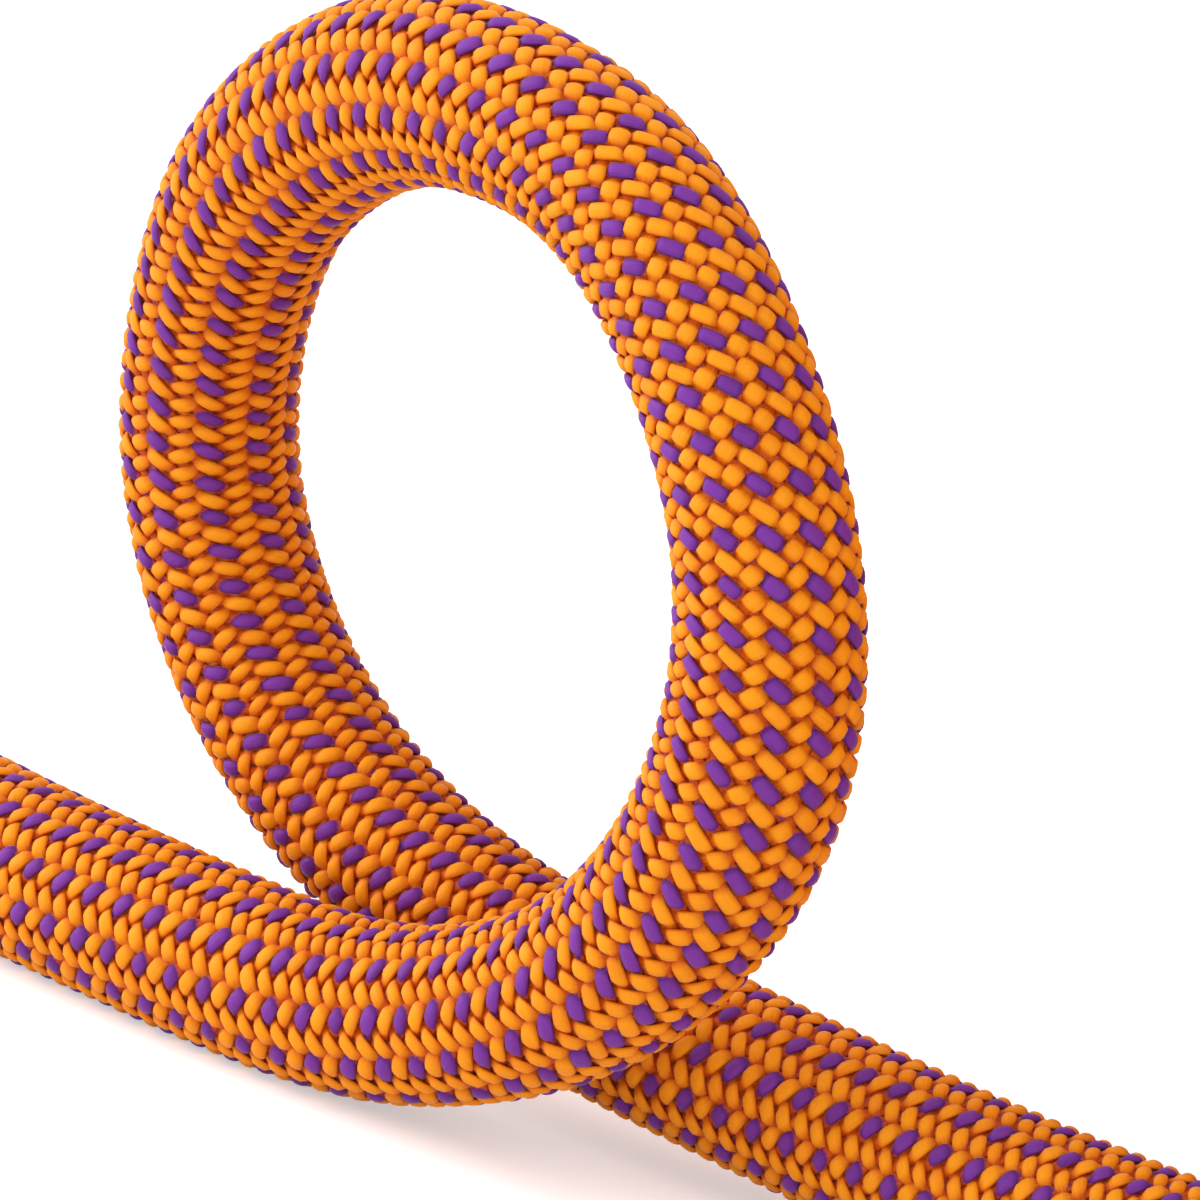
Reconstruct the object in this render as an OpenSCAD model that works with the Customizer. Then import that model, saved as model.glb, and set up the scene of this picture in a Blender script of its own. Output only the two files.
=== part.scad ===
// Dynamic climbing rope: a braided sheath over parallel core strands, one standing loop in the
// free stretch, and the rest of its 40 m put away as a round coil held by three webbing ties.

/* [Rope] */
// Diameter of the rope over its sheath
rope_d = 9.8; // [8.9:0.1:10.5]
// Wall of the braided sheath
sheath_t = 0.85; // [0.7:0.05:1.1]
// Clearance between the core strands, and round them
strand_gap = 0.06; // [0.04:0.01:0.12]

/* [Rope ends] */
// Length of the fused plug of yarn at each end
seal_len = 14; // [10:1:25]
// Rounding of the fused plug's rim
seal_round = 1.5; // [0.5:0.1:3]
// Length of the shrink sleeve at each end
sleeve_len = 32; // [25:1:36]
// Wall of the shrink sleeve
sleeve_t = 0.4; // [0.3:0.05:0.8]
// Radial clearance under the shrink sleeve
sleeve_fit = 0.1; // [0.05:0.01:0.2]

/* [Coil] */
// Diameter of the coil at the middle of its turns
coil_d = 172; // [165:1:220]
// Turns side by side across the coil
coil_wide = 8; // [5:1:8]
// Turns on top of each other up the coil
coil_high = 10; // [5:1:10]
// Free gap between neighbouring outer turns
turn_gap = 0.45; // [0.42:0.01:0.8]
// Gap between the outer turns and the turns inside them
pack_gap = 0.3; // [0.2:0.05:0.6]

/* [Ties] */
// Width of the webbing
tie_w = 20; // [15:1:30]
// Thickness of the webbing
tie_t = 1.2; // [0.8:0.1:2]
// Gap between the webbing and the turns
tie_gap = 0.3; // [0.2:0.05:0.5]
// Length of the sewn lap on top of the tie
lap_len = 45; // [30:1:60]

/* [Hidden] */

$fn = 96;
up = [0, 0, 1];
rope_r = rope_d / 2;
sleeve_lift = sleeve_t + sleeve_fit;   // the sleeve lifts the rope off the floor by this
tie_lift = tie_t + tie_gap;            // and the ties lift the coil by this

// Control points of the free stretch, from the first end through the standing loop to the coil:
// x, y, and how far the underside of the rope is lifted off the floor. A uniform cubic B-spline
// follows them, and the points at each end lie on one line, so that the rope ends straight.
route = [
    [-86, 77, sleeve_lift], [-74, 64.5, sleeve_lift], [-62, 52, sleeve_lift],
    [-50, 39.5, sleeve_lift], [-38, 27, sleeve_lift], [-31, 19.5, 0],
    [-24, 12, 0], [-16.5, 4.5, 0], [-9, -2, 0],
    [-3, -7, 2], [3, -13, 6], [7.5, -17.5, 12.5], [10, -21.5, 21],
    [9.5, -22.5, 30.5], [6.5, -21.5, 39], [1.5, -17.5, 46.5], [-4, -11.5, 51],
    [-10.5, -4, 51.5], [-15.5, 3, 50], [-20, 9.5, 45.5], [-23, 15, 39],
    [-23.5, 19.5, 29.5], [-22, 21, 21], [-17.5, 19.5, 12.5], [-11.5, 15, 7],
    [-5, 9.5, 4], [1.5, 3.5, 2.5], [10, -3, 1.5], [15.5, -7, 1],
    [27, -15.5, 0], [41, -26, 0], [52, -34, 0],
    [71, -48, 0], [90, -62, 0], [109, -76, 0]
];
rings_per_span = 2;
sheath_sides = 12;
strand_sides = 6;
outer_strands = 9;
inner_strands = 3;

// The coil
coil_sides = 6;
rings_per_turn = 24;
ring_step = 360 / rings_per_turn;
bend_turns = 1.2;                      // corner radius of the winding, in turn spacings
turn_pitch = (rope_d + turn_gap) / (2 * bend_turns * sin(90 / PI / bend_turns));
bend_r = bend_turns * turn_pitch;
least_foot = 1;                        // rounding of the lower edges of the inner turns
across = (coil_wide - 1) * turn_pitch;
upward = (coil_high - 1) * turn_pitch;
outer_turn_r = (coil_d + across) / 2;
inner_turn_r = (coil_d - across) / 2;
low_turn_z = rope_r + tie_lift;
top_turn_z = low_turn_z + upward;
settle_turns = 0.08;                   // the first turn climbs onto the ties in this much of a turn
tail_bend = 4 / 7 * inner_turn_r;      // the last end bends in at this radius
tail_angle = 120;                      // over this angle
tail_run = sleeve_len;                 // and then runs straight

// Where the winding goes round the coil's section: up the outer side, in over the top, and down
// the inner side, with rounded corners
side_run = upward - bend_r;
bend_run = PI / 2 * bend_r;
top_run = across - 2 * bend_r;
whole_run = 2 * side_run + 2 * bend_run + top_run;
coil_turns = whole_run / turn_pitch;

tie_count = 3;
first_tie_step = 4;                    // rings from the start of the coil to the first tie
// The turns are many-sided, so half-way between two rings they lie this much further in, and
// under the edges of a tie, which is centred on a ring, the inner ones lie this much further in
outer_sag = outer_turn_r * (1 - cos(ring_step / 2));
tie_sag = tie_w / 2 * tan(ring_step / 2);

// ---- Curves -------------------------------------------------------------------------------

function unit(v) = v / norm(v);
function flat(v) = [v.x, v.y, 0];
function left_of(v) = [-v.y, v.x, 0];
function turned(a) = [cos(a), sin(a), 0];
function total(list) = [for (v = list) 1] * list;
function eased(t) = (1 - cos(180 * t)) / 2;

// A point of a uniform cubic B-spline, and its direction there
function weights(t) = [pow(1 - t, 3), 3 * pow(t, 3) - 6 * t * t + 4,
                       -3 * pow(t, 3) + 3 * t * t + 3 * t + 1, pow(t, 3)] / 6;
function slopes(t) = [-pow(1 - t, 2), 3 * t * t - 4 * t, -3 * t * t + 2 * t + 1, t * t] / 2;
function four(pts, u) = [for (k = [0:3]) pts[min(floor(u), len(pts) - 3) + k - 1]];
function part_of(pts, u) = u - min(floor(u), len(pts) - 3);
function spline_at(pts, u) = weights(part_of(pts, u)) * four(pts, u);
function spline_way(pts, u) = unit(slopes(part_of(pts, u)) * four(pts, u));

// Cross directions carried along a run of directions without twist
function carried(ways, first) =
    [for (i = 0, n = first; i < len(ways);
          i = i + 1, n = i < len(ways) ? unit(n - (n * ways[i]) * ways[i]) : n) n];

// ---- Free stretch --------------------------------------------------------------------------

free_points = [for (p = route) [p.x, p.y, p.z + rope_r]];
free_us = [for (k = [0 : rings_per_span * (len(route) - 3)]) 1 + k / rings_per_span];
free_line = [for (u = free_us) spline_at(free_points, u)];
free_ways = [for (u = free_us) spline_way(free_points, u)];
free_ups = carried(free_ways, up);
end_a = free_line[0];
way_a = unit(flat(free_ways[0]));
join = free_line[len(free_line) - 1];
join_way = free_ways[len(free_ways) - 1];

// ---- Coil -----------------------------------------------------------------------------------

coil_start = join + rope_d * join_way;
coil_centre = flat(coil_start + outer_turn_r * left_of(join_way));
start_angle = atan2(-left_of(join_way).y, -left_of(join_way).x);

// Radius and height of the winding after a run round the section, and its direction there
function section_at(run) =
    run < side_run ? [outer_turn_r, low_turn_z + run]
    : run < side_run + bend_run
        ? let (a = (run - side_run) / bend_r * 180 / PI)
          [outer_turn_r - bend_r * (1 - cos(a)), top_turn_z - bend_r * (1 - sin(a))]
    : run < side_run + bend_run + top_run
        ? [outer_turn_r - bend_r - (run - side_run - bend_run), top_turn_z]
    : run < whole_run - side_run
        ? let (a = (run - side_run - bend_run - top_run) / bend_r * 180 / PI)
          [inner_turn_r + bend_r * (1 - sin(a)), top_turn_z - bend_r * (1 - cos(a))]
    : [inner_turn_r, low_turn_z + whole_run - run];
function section_way(run) =
    let (a = run < side_run ? 0
           : run < side_run + bend_run ? (run - side_run) / bend_r * 180 / PI
           : run < side_run + bend_run + top_run ? 90
           : run < whole_run - side_run
               ? 90 + (run - side_run - bend_run - top_run) / bend_r * 180 / PI
           : 180)
    [-sin(a), cos(a)];

function around(angle, r, z) = flat(coil_centre) + r * turned(angle) + z * up;
function climb(turns) = turns < settle_turns ? tie_lift * (1 - eased(turns / settle_turns)) : 0;
function winding_at(turns) =
    let (s = section_at(turns * turn_pitch))
    around(start_angle + 360 * turns, s[0], s[1] - climb(turns));
function winding_up(turns) =
    let (w = section_way(turns * turn_pitch))
    w[0] * turned(start_angle + 360 * turns) + w[1] * up;

// The last end leaves the lowest inner turn, bends in, comes down to the floor and runs straight
tail_turns = [for (k = [1 : tail_angle / ring_step]) k * ring_step / tail_angle];
last_angle = start_angle + 360 * coil_turns;
function tail_at(t) =
    around(last_angle, inner_turn_r - tail_bend, low_turn_z + (sleeve_lift - tie_lift) * eased(t))
    + tail_bend * turned(last_angle + tail_angle * t);
tail_end = tail_at(1);
way_b = turned(last_angle + tail_angle + 90);
end_b = tail_end + tail_run * way_b;

coil_us = [for (k = [0 : floor(coil_turns * rings_per_turn)]) k / rings_per_turn];
coil_line = concat([join], [for (u = coil_us) winding_at(u)],
                   [for (t = tail_turns) tail_at(t)], [tail_end + rope_d * way_b, end_b]);
coil_ups = concat([up], [for (u = coil_us) winding_up(u)], [for (t = tail_turns) -up], [-up, -up]);
coil_ways = [for (i = [0 : len(coil_line) - 1])
    i == 0 ? join_way
    : i >= len(coil_line) - 2 ? way_b
    : unit(coil_line[i + 1] - coil_line[i - 1])];

// The least gap between a turn and the turns next to it, measured from point to point
least_gap = min([for (i = [1 : len(coil_line) - rings_per_turn - 8])
                 for (j = [i + rings_per_turn / 2 : min(i + 3 / 2 * rings_per_turn,
                                                        len(coil_line) - 1)])
                 norm(coil_line[i] - coil_line[j])]) - rope_d;
echo(coil_turns = coil_turns, least_gap = least_gap);

// ---- Place on the floor: the middle of the whole part's base is the origin -----------------

seal_reach = seal_len - seal_round;
lowest_x = (end_a - seal_reach * way_a).x - (rope_r - seal_round) * abs(way_a.y) - seal_round;
coil_rim = ring_points(coil_line, coil_ways, coil_ups, rope_r, coil_sides);
base_centre = [(lowest_x + max([for (p = coil_rim) p.x])) / 2,
               (min([for (p = coil_rim) p.y]) + max([for (p = coil_rim) p.y])) / 2, 0];

module placed() translate(-base_centre) children();

// ---- Tubes ----------------------------------------------------------------------------------

// Rings of points round a line; off moves them sideways from it, as [up, across]
function ring_points(line, ways, ups, r, sides, off = [0, 0]) =
    [for (i = [0 : len(line) - 1])
        let (n = unit(ups[i] - (ups[i] * ways[i]) * ways[i]), b = cross(ways[i], n))
        for (k = [0 : sides - 1])
        line[i] + (off[0] + r * cos(360 * k / sides)) * n
                + (off[1] + r * sin(360 * k / sides)) * b];

// Two triangles for each side of each span, facing out, or in when inward is true
function skin(first, spans, sides, inward = false) =
    [for (i = [0 : spans - 1]) for (k = [0 : sides - 1])
        let (a = first + i * sides + k, b = first + i * sides + (k + 1) % sides,
             c = a + sides, d = b + sides)
        each (inward ? [[a, b, d], [a, d, c]] : [[a, d, b], [a, c, d]])];
function lid(first, sides, near) =
    [for (k = [1 : sides - 2]) near ? [first, first + k, first + k + 1]
                                    : [first, first + k + 1, first + k]];

module tube(line, ways, ups, r, sides, off = [0, 0]) {
    spans = len(line) - 1;
    polyhedron(
        points = ring_points(line, ways, ups, r, sides, off),
        faces = concat(skin(0, spans, sides), lid(0, sides, true),
                       lid(spans * sides, sides, false)));
}

// A tube with a bore; each end is a flat ring
module hollow_tube(line, ways, ups, r, bore_r, sides) {
    spans = len(line) - 1;
    inner = len(line) * sides;
    function rim(at, near) =
        [for (k = [0 : sides - 1])
            let (a = at + k, b = at + (k + 1) % sides, c = inner + a, d = inner + b)
            each (near ? [[a, b, d], [a, d, c]] : [[a, d, b], [a, c, d]])];
    polyhedron(
        points = concat(ring_points(line, ways, ups, r, sides),
                        ring_points(line, ways, ups, bore_r, sides)),
        faces = concat(skin(0, spans, sides), skin(inner, spans, sides, true),
                       rim(0, true), rim(spans * sides, false)));
}

// ---- Sheath and core of the free stretch ----------------------------------------------------

module sheath() {
    color("darkorange")
        hollow_tube(free_line, free_ways, free_ups, rope_r, rope_r - sheath_t, sheath_sides);
}

// The strands fill the bore: a ring of nine against the sheath, and three inside it
function strand_r(room, count) =
    (room * sin(180 / count) - strand_gap / 2) / (1 + sin(180 / count));
bore_room = (rope_r - sheath_t) * cos(180 / sheath_sides) - strand_gap;
outer_strand_r = strand_r(bore_room, outer_strands);
inner_room = bore_room - 2 * outer_strand_r - strand_gap;
inner_strand_r = strand_r(inner_room, inner_strands);

module core_strand(number) {
    is_outer = number <= outer_strands;
    r = is_outer ? outer_strand_r : inner_strand_r;
    at = (is_outer ? bore_room : inner_room) - r;
    angle = 360 * number / (is_outer ? outer_strands : inner_strands);
    color("ivory")
        tube(free_line, free_ways, free_ups, r, strand_sides, at * [cos(angle), sin(angle)]);
}

// ---- Coil -----------------------------------------------------------------------------------

module coil_outer_turns() {
    color("darkorange") tube(coil_line, coil_ways, coil_ups, rope_r, coil_sides);
}

// The section of the bundle: its outline through the middles of the outer turns, grown or shrunk,
// with its own growth on the coil's inner and outer side and a flat underside at low
module bundle_section(grow, low, inner_side, outer_side) {
    left = inner_turn_r - inner_side;
    right = outer_turn_r + outer_side;
    top = top_turn_z + grow;
    corner = bend_r + grow;
    foot = max(grow, least_foot);
    translate([left + corner, low]) square([right - left - 2 * corner, top - low]);
    translate([left, low + foot]) square([right - left, top - low - foot - corner]);
    translate([left + foot, low]) square([right - left - 2 * foot, top - low - corner]);
    for (x = [left + corner, right - corner])
        translate([x, top - corner]) circle(corner);
    for (x = [left + foot, right - foot])
        translate([x, low + foot]) circle(foot);
}

// The turns inside the outer ones, as one ring
module coil_inner_turns() {
    inset = -(rope_r + pack_gap);
    color("orange")
        translate(coil_centre)
            rotate_extrude() bundle_section(inset, tie_lift, inset, inset - outer_sag);
}

// ---- Rope ends ------------------------------------------------------------------------------

// Turns a piece made along +Z to lie along a level direction
module along(at, way) translate(at) rotate([0, 90, atan2(way.y, way.x)]) children();

module sealed_end(at, way) {
    color("indigo")
        along(at, way)
            rotate_extrude() {
                square([rope_r, seal_reach]);
                square([rope_r - seal_round, seal_len]);
                translate([rope_r - seal_round, seal_reach]) circle(seal_round);
            }
}

module end_sleeve(at, way) {
    bore_r = rope_r + sleeve_fit;
    color("dimgray")
        along(at, -way)
            difference() {
                cylinder(h = sleeve_len, r = bore_r + sleeve_t);
                translate([0, 0, -1]) cylinder(h = sleeve_len + 2, r = bore_r);
            }
}

// ---- Ties -----------------------------------------------------------------------------------

// A webbing band round the bundle, with a second thickness where its ends are sewn together
module coil_tie(number) {
    angle = start_angle + first_tie_step * ring_step + 360 * (number - 1) / tie_count;
    reach = rope_r + tie_gap;
    outside = reach + tie_t;
    color("darkslategray")
        translate(coil_centre) rotate([0, 0, angle]) rotate([90, 0, 0]) {
            linear_extrude(tie_w, center = true)
                difference() {
                    bundle_section(outside, 0, outside + tie_sag, outside);
                    bundle_section(reach, tie_t, reach + tie_sag, reach);
                }
            translate([(coil_d - lap_len) / 2, top_turn_z + reach + tie_t / 2])
                linear_extrude(tie_w, center = true) square([lap_len, 3 / 2 * tie_t]);
        }
}

// ---- The whole part -------------------------------------------------------------------------

placed() sheath();
placed() core_strand(1);  // core_strand_01
placed() core_strand(2);  // core_strand_02
placed() core_strand(3);  // core_strand_03
placed() core_strand(4);  // core_strand_04
placed() core_strand(5);  // core_strand_05
placed() core_strand(6);  // core_strand_06
placed() core_strand(7);  // core_strand_07
placed() core_strand(8);  // core_strand_08
placed() core_strand(9);  // core_strand_09
placed() core_strand(10);  // core_strand_10
placed() core_strand(11);  // core_strand_11
placed() core_strand(12);  // core_strand_12
placed() coil_outer_turns();
placed() coil_inner_turns();
placed() sealed_end(end_a, -way_a);  // sealed_end_a
placed() sealed_end(end_b, way_b);  // sealed_end_b
placed() end_sleeve(end_a, -way_a);  // end_sleeve_a
placed() end_sleeve(end_b, way_b);  // end_sleeve_b
placed() coil_tie(1);  // coil_tie_1
placed() coil_tie(2);  // coil_tie_2
placed() coil_tie(3);  // coil_tie_3
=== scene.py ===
"""A dynamic climbing rope: its braided sheath, sealed ends, coil and ties, on a white floor."""

import bmesh
import bpy
import numpy as np
from mathutils import Matrix, Vector


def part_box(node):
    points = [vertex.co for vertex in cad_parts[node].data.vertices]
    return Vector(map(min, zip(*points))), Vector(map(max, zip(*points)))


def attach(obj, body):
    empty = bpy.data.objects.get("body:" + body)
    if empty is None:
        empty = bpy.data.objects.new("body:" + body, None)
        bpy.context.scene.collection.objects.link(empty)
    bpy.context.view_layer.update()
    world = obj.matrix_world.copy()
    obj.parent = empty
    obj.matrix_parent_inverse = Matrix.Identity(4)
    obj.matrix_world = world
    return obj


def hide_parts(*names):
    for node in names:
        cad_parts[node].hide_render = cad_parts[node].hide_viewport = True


bl_info = {
    "name": "Dynamic climbing rope",
    "version": (1, 0, 0),
    "blender": (4, 5, 0),
    "location": "3D View > Sidebar > Rope",
    "description": "Braids, coils and ties a dynamic climbing rope round its CAD frame",
    "category": "Object",
}

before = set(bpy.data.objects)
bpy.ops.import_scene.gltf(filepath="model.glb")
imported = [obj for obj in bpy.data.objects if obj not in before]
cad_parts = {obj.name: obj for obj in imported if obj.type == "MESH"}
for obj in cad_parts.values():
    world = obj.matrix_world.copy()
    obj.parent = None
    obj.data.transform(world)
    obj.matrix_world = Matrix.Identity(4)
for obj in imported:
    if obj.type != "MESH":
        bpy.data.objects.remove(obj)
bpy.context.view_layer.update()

MM = 0.001
BODY = "root"
UP = np.array([0.0, 0.0, 1.0])

# ---- Sizes and colours a user would change ------------------------------------------------------


def length(name, description, default):
    return bpy.props.FloatProperty(name=name, description=description, default=default,
                                   min=0.0, precision=5, unit="LENGTH")


def colour(name, description, default):
    return bpy.props.FloatVectorProperty(name=name, description=description, default=default,
                                         size=3, min=0.0, max=1.0, subtype="COLOR")


class RopeSizes(bpy.types.PropertyGroup):
    """Sizes of the rope and its braid"""

    diameter: length("Diameter", "Diameter over the sheath", 9.8 * MM)
    row: length("Row spacing", "Distance along the rope between rows of crossings", 0.597 * MM)
    carriers: bpy.props.IntProperty(name="Carriers", default=48, min=16, max=64,
                                    description="Strands in the braid, half turning each way")
    strand_fill: bpy.props.FloatProperty(
        name="Strand fill", default=1.0, min=0.5, max=1.3,
        description="How full of yarn the braid is: 1 fills it")
    braid_start: length("Braid starts", "Where the modelled braid starts, along the rope", 24 * MM)
    braid_end: length("Braid ends", "Where the modelled braid ends, along the rope", 324 * MM)


class CoilSizes(bpy.types.PropertyGroup):
    """Sizes of the coil and of the rope's last end"""

    diameter: length("Diameter", "Coil diameter at the middle of its turns", 172 * MM)
    layers: bpy.props.IntProperty(name="Layers", default=8, min=2, max=8,
                                  description="Turns side by side across the coil")
    levels: bpy.props.IntProperty(name="Levels", default=10, min=2, max=10,
                                  description="Turns on top of each other")
    turn_gap: length("Turn gap", "Free gap between neighbouring turns", 0.45 * MM)


class EndSizes(bpy.types.PropertyGroup):
    """Sizes of the sealed ends and their sleeves"""

    seal_length: length("Plug length", "Length of the fused plug of yarn", 14 * MM)
    sleeve_length: length("Sleeve length", "Length of the shrink sleeve", 32 * MM)
    sleeve_wall: length("Sleeve wall", "Wall of the shrink sleeve", 0.4 * MM)
    sleeve_fit: length("Sleeve fit", "Radial clearance under the shrink sleeve", 0.1 * MM)


class TieSizes(bpy.types.PropertyGroup):
    """Sizes of the webbing ties"""

    width: length("Width", "Width of the webbing", 20 * MM)
    thickness: length("Thickness", "Thickness of the webbing", 1.2 * MM)
    gap: length("Gap", "Gap between the webbing and the turns", 0.3 * MM)
    lap: length("Lap", "Length of the sewn lap on top", 45 * MM)


class RopeColours(bpy.types.PropertyGroup):
    """Colours of the yarns and fittings"""

    orange: colour("Orange yarn", "Main yarn of the sheath", (1.0, 0.275, 0.003))
    purple: colour("Purple yarn", "Tracer yarn of the sheath", (0.16, 0.028, 0.28))
    core: colour("Core yarn", "Undyed yarn of the core", (0.82, 0.79, 0.7))
    burnt: colour("Burnt yarn", "Melted yarn at the sealed ends", (0.16, 0.045, 0.012))
    sleeve: colour("Sleeve", "Shrink sleeve", (0.012, 0.012, 0.014))
    webbing: colour("Webbing", "Webbing of the ties", (0.03, 0.032, 0.038))
    thread: colour("Thread", "Sewing thread of the ties", (0.55, 0.2, 0.02))


class StageSettings(bpy.types.PropertyGroup):
    """Camera, floor and lights"""

    view_width: length("View width", "Width of what the camera sees", 64.6 * MM)
    distance: length("Camera distance", "From the camera to the loop", 2.0)
    floor: length("Floor size", "Side of the square floor", 40.0)
    floor_glow: bpy.props.FloatProperty(
        name="Floor glow", default=0.45, min=0.0,
        description="How much whiter the floor looks than it is lit")
    sky: bpy.props.FloatProperty(name="Sky", default=0.88, min=0.0,
                                 description="Strength of the even light from all round")
    front: bpy.props.FloatProperty(name="Front light", default=0.75, min=0.0,
                                   description="Strength of the broad low light from the front")
    sides: bpy.props.FloatProperty(name="Side lights", default=2.4, min=0.0,
                                   description="Strength of the two broad lights from behind")


GROUPS = {"rope_sizes": RopeSizes, "coil_sizes": CoilSizes, "end_sizes": EndSizes,
          "tie_sizes": TieSizes, "rope_colours": RopeColours, "stage_settings": StageSettings}


def settings(name):
    return getattr(bpy.context.scene, name)


# ---- The rope's line ----------------------------------------------------------------------------

# The sleeve lifts the first end off the floor by this
SLEEVE_LIFT = 0.0005

# Control points of the free stretch: x, y, and how far the rope's underside is off the floor. The
# loop's 23, from the ninth on, are a least-squares fit rounded to half a millimetre. The rest are
# chosen one by one
ROUTE = [
    (-0.086, 0.077, SLEEVE_LIFT), (-0.074, 0.0645, SLEEVE_LIFT), (-0.062, 0.052, SLEEVE_LIFT),
    (-0.05, 0.0395, SLEEVE_LIFT), (-0.038, 0.027, SLEEVE_LIFT), (-0.031, 0.0195, 0),
    (-0.024, 0.012, 0), (-0.0165, 0.0045, 0), (-0.009, -0.002, 0),
    (-0.003, -0.007, 0.002), (0.003, -0.013, 0.006), (0.0075, -0.0175, 0.0125),
    (0.01, -0.0215, 0.021), (0.0095, -0.0225, 0.0305), (0.0065, -0.0215, 0.039),
    (0.0015, -0.0175, 0.0465), (-0.004, -0.0115, 0.051), (-0.0105, -0.004, 0.0515),
    (-0.0155, 0.003, 0.05), (-0.02, 0.0095, 0.0455), (-0.023, 0.015, 0.039),
    (-0.0235, 0.0195, 0.0295), (-0.022, 0.021, 0.021), (-0.0175, 0.0195, 0.0125),
    (-0.0115, 0.015, 0.007), (-0.005, 0.0095, 0.004), (0.0015, 0.0035, 0.0025),
    (0.01, -0.003, 0.0015), (0.0155, -0.007, 0.001), (0.027, -0.0155, 0),
    (0.041, -0.026, 0), (0.052, -0.034, 0), (0.071, -0.048, 0),
    (0.09, -0.062, 0), (0.109, -0.076, 0),
]
ROUTE_STEPS = 12          # rings of the free stretch for each span of its control points
COIL_STEPS = 72           # rings of the coil for each turn
CORNER_TURNS = 1.2        # corner radius of the winding, in turn spacings
SETTLE_TURNS = 0.08       # the first turn climbs onto the ties in this much of a turn
TAIL_ANGLE = np.radians(120)
TAIL_BEND = 4 / 7         # bend radius of the last end, as a share of the inner turns' radius
TAIL_STEPS = 15
FIRST_TIE = np.radians(60)
TIES = 3


class Line:
    """A line that something follows, with a carried cross direction and its length so far."""

    def __init__(self, points):
        self.points = np.array(points)
        steps = np.linalg.norm(np.diff(self.points, axis=0), axis=1)
        self.along = np.concatenate([[0.0], np.cumsum(steps)])
        self.ways = unit(np.gradient(self.points, self.along, axis=0))
        ups = [UP]
        for way in self.ways:
            ups.append(unit(ups[-1] - (ups[-1] @ way) * way))
        self.ups = np.array(ups[1:])

    def at(self, along):
        """Points, ways and ups at these lengths along the line."""
        parts = [np.stack([np.interp(along, self.along, values[:, k]) for k in range(3)], axis=-1)
                 for values in (self.points, self.ways, self.ups)]
        return parts[0], unit(parts[1]), unit(parts[2])

    def shell(self, along, angle, radius):
        """Points round the line. The angle turns left-handed about the way the line runs."""
        centre, way, up = self.at(along)
        side = np.cross(up, way)
        return centre + radius[..., None] * (np.cos(angle)[..., None] * up
                                             + np.sin(angle)[..., None] * side)


def unit(vectors):
    return vectors / np.linalg.norm(vectors, axis=-1, keepdims=True)


def eased(t):
    return (1 - np.cos(np.pi * np.clip(t, 0, 1))) / 2


def b_spline(points, steps):
    """A uniform cubic B-spline along control points."""
    t = np.append(np.arange(steps) / steps, 1.0)
    weights = np.stack([(1 - t) ** 3, 3 * t ** 3 - 6 * t ** 2 + 4,
                        -3 * t ** 3 + 3 * t ** 2 + 3 * t + 1, t ** 3], axis=1) / 6
    spans = [weights @ points[i:i + 4] for i in range(len(points) - 3)]
    return np.concatenate([span[:-1] for span in spans] + [spans[-1][-1:]])


def turned(angle):
    return np.stack([np.cos(angle), np.sin(angle), np.zeros_like(angle)], axis=-1)


class Coil:
    """Where the coil's turns run, worked out from the end of the free stretch."""

    def __init__(self, join, way):
        rope, coil, tie, end = (settings(n) for n in
                                ("rope_sizes", "coil_sizes", "tie_sizes", "end_sizes"))
        self.sizes = coil
        self.rope_r = rope.diameter / 2
        self.pitch = (rope.diameter + coil.turn_gap) / (
            2 * CORNER_TURNS * np.sin(1 / (2 * CORNER_TURNS)))
        across = (coil.layers - 1) * self.pitch
        self.outer_r = (coil.diameter + across) / 2
        self.inner_r = (coil.diameter - across) / 2
        self.tie_lift = tie.thickness + tie.gap
        self.low = self.rope_r + self.tie_lift
        self.top = self.low + (coil.levels - 1) * self.pitch
        self.sleeve_drop = end.sleeve_wall + end.sleeve_fit - self.tie_lift
        left = np.array([-way[1], way[0], 0.0])
        self.start = join + rope.diameter * way
        self.centre = (self.start + self.outer_r * left) * [1, 1, 0]
        self.start_angle = np.arctan2(-left[1], -left[0])
        winding = (2 * (coil.levels - 1 - CORNER_TURNS) + np.pi * CORNER_TURNS
                   + coil.layers - 1 - 2 * CORNER_TURNS)
        self.spare = winding % 1 / (coil.layers - 1)
        self.climbs = coil.levels - 1
        self.turns = coil.layers * self.climbs + winding % 1
        self.last_angle = self.start_angle + 2 * np.pi * self.turns

    def around(self, angle, r, z):
        return self.centre + r[..., None] * turned(angle) + z[..., None] * UP

    def wound(self):
        """Each layer climbs or sinks level by level, then the rope moves in by one layer."""
        turns = np.arange(0, self.turns, 1 / COIL_STEPS)
        layer = np.minimum(turns // (self.climbs + self.spare), self.sizes.layers - 1)
        within = turns - layer * (self.climbs + self.spare)
        climbed = np.minimum(within, self.climbs)
        level = np.where(layer % 2 == 0, climbed, self.climbs - climbed)
        moved = layer + eased((within - self.climbs) / self.spare)
        lift = self.low + level * self.pitch - self.tie_lift * (1 - eased(turns / SETTLE_TURNS))
        return self.around(self.start_angle + 2 * np.pi * turns,
                           self.outer_r - moved * self.pitch, lift)

    def tail(self):
        """The last end bends in, comes down to the floor and runs straight."""
        t = np.linspace(0, 1, TAIL_STEPS)
        bend_r = TAIL_BEND * self.inner_r
        middle = self.around(np.full(TAIL_STEPS, self.last_angle),
                             np.full(TAIL_STEPS, self.inner_r - bend_r),
                             self.low + self.sleeve_drop * eased(t))
        bend = middle + bend_r * turned(self.last_angle + TAIL_ANGLE * t)
        way = turned(self.last_angle + TAIL_ANGLE + np.pi / 2)
        straight = t[1:, None] * settings("end_sizes").sleeve_length
        return np.concatenate([bend, bend[-1] + straight * way])

    def tie_angle(self, number):
        return self.start_angle + FIRST_TIE + 2 * np.pi * (number - 1) / TIES


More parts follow.
